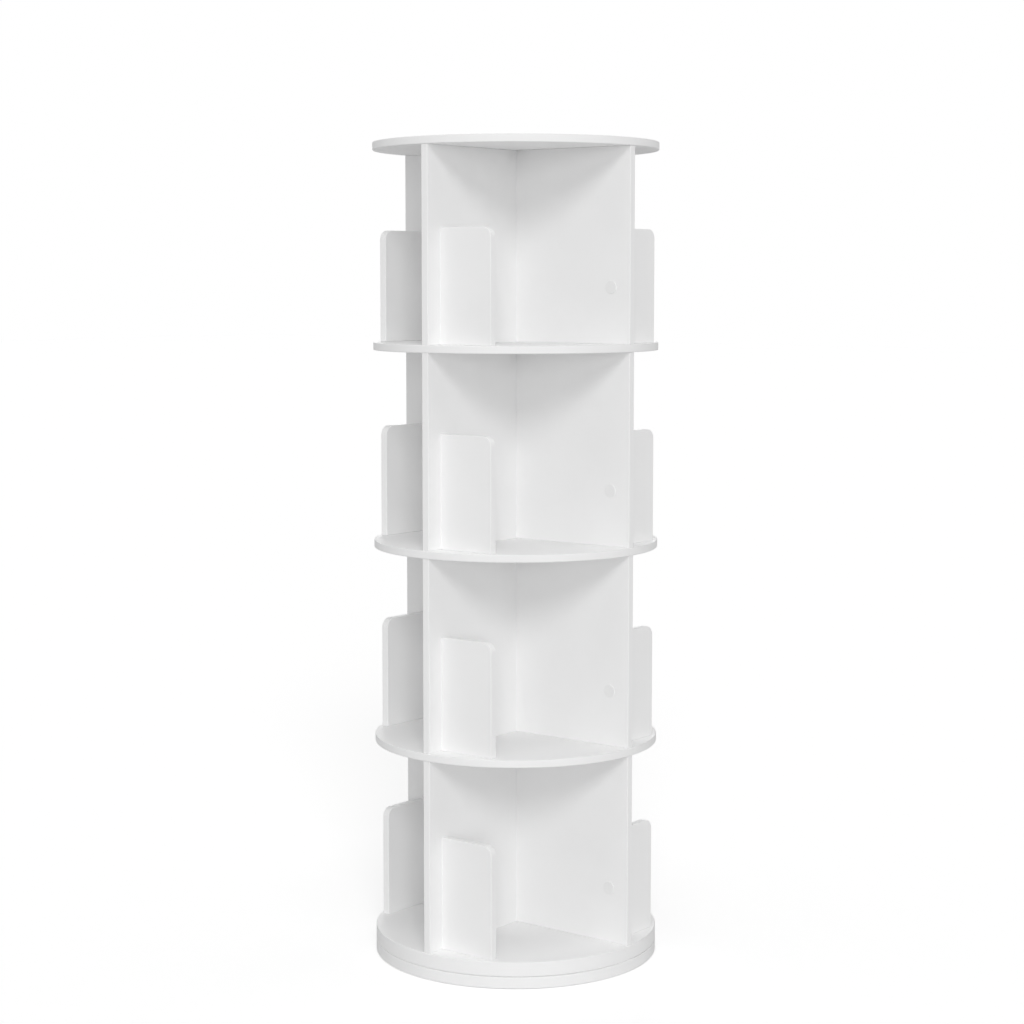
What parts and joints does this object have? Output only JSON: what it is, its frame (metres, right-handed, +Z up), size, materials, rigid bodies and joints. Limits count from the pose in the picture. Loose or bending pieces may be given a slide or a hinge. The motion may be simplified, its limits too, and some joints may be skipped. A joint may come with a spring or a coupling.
{
  "type": "revolving bookcase",
  "caption": "Tall round bookcase with tiers of open compartments between crossed upright panels and book stops, turning freely on a hidden ball-bearing turntable over a round base.",
  "frame": {"origin": "on the floor under the turntable's axis, at the underside of the glide pads", "axes": "+Z up along the turntable's axis, +Y along the through panels, +X along the right wing panels"},
  "size_m": [0.4499, 0.45, 1.288],
  "materials": {
    "white_board": "white satin laminate on fibreboard, with softly rounded edges",
    "cap_plastic": "white satin plastic cover cap",
    "ring_metal": "mill-finish turned aluminium",
    "screw_steel": "zinc-plated steel",
    "cam_metal": "die-cast zinc alloy",
    "ball_steel": "polished bearing steel",
    "cage_plastic": "dark moulded nylon",
    "dowel_wood": "plain beech dowel",
    "felt": "grey felt glide pad"
  },
  "bodies": {
    "base": {"base_board": "white_board", "glide_pads": "felt", "bearing_outer_ring": "ring_metal", "bearing_outer_screws": "screw_steel"},
    "cage": {"ball_cage": "cage_plastic", "bearing_balls": "ball_steel"},
    "case": {"bearing_inner_ring": "ring_metal", "bearing_inner_screws": "screw_steel", "book_stop_back_1": "white_board", "book_stop_back_2": "white_board", "book_stop_back_3": "white_board", "book_stop_back_4": "white_board", "book_stop_front_1": "white_board", "book_stop_front_2": "white_board", "book_stop_front_3": "white_board", "book_stop_front_4": "white_board", "book_stop_left_1": "white_board", "book_stop_left_2": "white_board", "book_stop_left_3": "white_board", "book_stop_left_4": "white_board", "book_stop_right_1": "white_board", "book_stop_right_2": "white_board", "book_stop_right_3": "white_board", "book_stop_right_4": "white_board", "bottom_shelf": "white_board", "cam_bolts_double": "screw_steel", "cam_bolts_single": "screw_steel", "cam_covers": "cap_plastic", "cam_locks": "cam_metal", "cross_dowels": "dowel_wood", "left_wing_panel_1": "white_board", "left_wing_panel_2": "white_board", "left_wing_panel_3": "white_board", "left_wing_panel_4": "white_board", "right_wing_panel_1": "white_board", "right_wing_panel_2": "white_board", "right_wing_panel_3": "white_board", "right_wing_panel_4": "white_board", "shelf_1": "white_board", "shelf_2": "white_board", "shelf_3": "white_board", "shelf_dowels_blind": "dowel_wood", "shelf_dowels_through": "dowel_wood", "stop_dowels": "dowel_wood", "stop_screw_caps": "cap_plastic", "stop_screws": "screw_steel", "through_panel_1": "white_board", "through_panel_2": "white_board", "through_panel_3": "white_board", "through_panel_4": "white_board", "top_board": "white_board"}
  },
  "joints": [
    {"name": "case_spin", "type": "hinge", "parent": "base", "child": "case", "pos_m": [0, 0, 0.023], "axis": [0, 0, 1], "continuous": true},
    {"name": "cage_spin", "type": "hinge", "parent": "base", "child": "cage", "pos_m": [0, 0, 0.023], "axis": [0, 0, 1], "continuous": true}
  ],
  "couplings": [
    {"joint": "cage_spin", "follows": "case_spin", "ratio": 0.49269}
  ]
}
